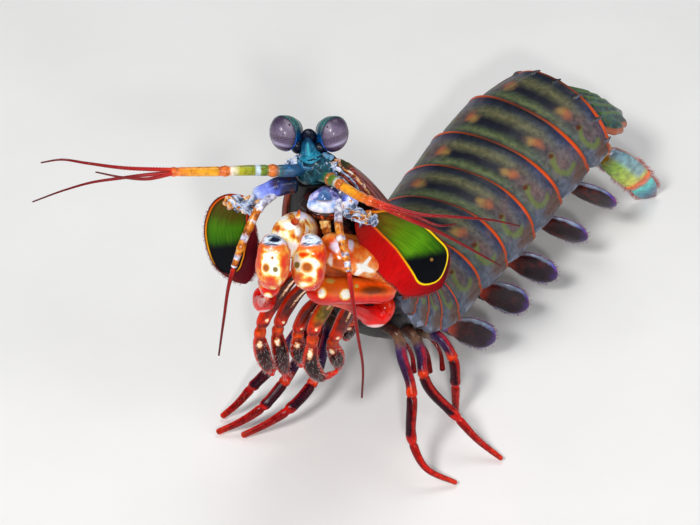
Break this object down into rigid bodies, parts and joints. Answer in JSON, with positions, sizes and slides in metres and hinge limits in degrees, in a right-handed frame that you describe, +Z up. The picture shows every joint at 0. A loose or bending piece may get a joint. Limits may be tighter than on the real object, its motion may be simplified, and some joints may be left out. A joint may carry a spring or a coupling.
{
  "type": "mantis shrimp",
  "caption": "Life-size mantis shrimp on its walking legs, head raised, striking claws folded, feelers spread and tail fan on the floor; a still display model.",
  "frame": {"origin": "on the floor, under the middle of the bounding box", "axes": "the head faces -Y, the animal's left side is towards +X, the tail trails towards +X and +Y, and +Z is up"},
  "size_m": [0.1468, 0.1336, 0.0871],
  "materials": {
    "shell": "olive-green shell with dark cross bands, thin orange rear edges and yellow-orange patches, satin",
    "head": "teal-green skin turning bright blue at the rim of the eye cups",
    "eye": "violet-grey faceted cornea with curved dark midband lines and a small black spot",
    "mouth": "lavender-blue lip with a white lower edge",
    "antennule": "teal, yellow-green and orange stem segments with orange rings, dark-red whips",
    "antenna": "lavender base, stem in orange and translucent white bands, dark-red whip",
    "scale": "green blade with a black end spot, yellow rim and a broad red hair fringe",
    "claw": "glossy orange-red with white patches and round brown-orange spots",
    "leg": "dark maroon turning red at joints and tips",
    "pleopod": "dark maroon plates with pale blue rims and violet tips",
    "tail": "dark green and turquoise with orange and yellow-green joints"
  },
  "bodies": {
    "root": {"abdomen_1": "shell", "abdomen_2": "shell", "abdomen_3": "shell", "abdomen_4": "shell", "abdomen_5": "shell", "abdomen_6": "shell", "antenna_left": "antenna", "antenna_right": "antenna", "antennal_scale_left": "scale", "antennal_scale_right": "scale", "antennule_left": "antennule", "antennule_right": "antennule", "carapace": "shell", "cephalon": "leg", "eye_left": "eye", "eye_right": "eye", "eyestalk_left": "head", "eyestalk_right": "head", "head": "head", "maxilliped_3_left": "leg", "maxilliped_3_right": "leg", "maxilliped_4_left": "leg", "maxilliped_4_right": "leg", "maxilliped_5_left": "leg", "maxilliped_5_right": "leg", "mouth": "mouth", "pleopod_1_left": "pleopod", "pleopod_1_right": "pleopod", "pleopod_2_left": "pleopod", "pleopod_2_right": "pleopod", "pleopod_3_left": "pleopod", "pleopod_3_right": "pleopod", "pleopod_4_left": "pleopod", "pleopod_4_right": "pleopod", "pleopod_5_left": "pleopod", "pleopod_5_right": "pleopod", "raptorial_carpus_left": "claw", "raptorial_carpus_right": "claw", "raptorial_dactyl_left": "claw", "raptorial_dactyl_right": "claw", "raptorial_merus_left": "claw", "raptorial_merus_right": "claw", "raptorial_propodus_left": "claw", "raptorial_propodus_right": "claw", "rostral_plate": "shell", "telson": "tail", "thorax_5": "shell", "thorax_6": "shell", "thorax_7": "shell", "thorax_8": "shell", "uropod_left": "tail", "uropod_right": "tail", "walking_leg_1_left": "leg", "walking_leg_1_right": "leg", "walking_leg_2_left": "leg", "walking_leg_2_right": "leg", "walking_leg_3_left": "leg", "walking_leg_3_right": "leg"}
  },
  "joints": []
}
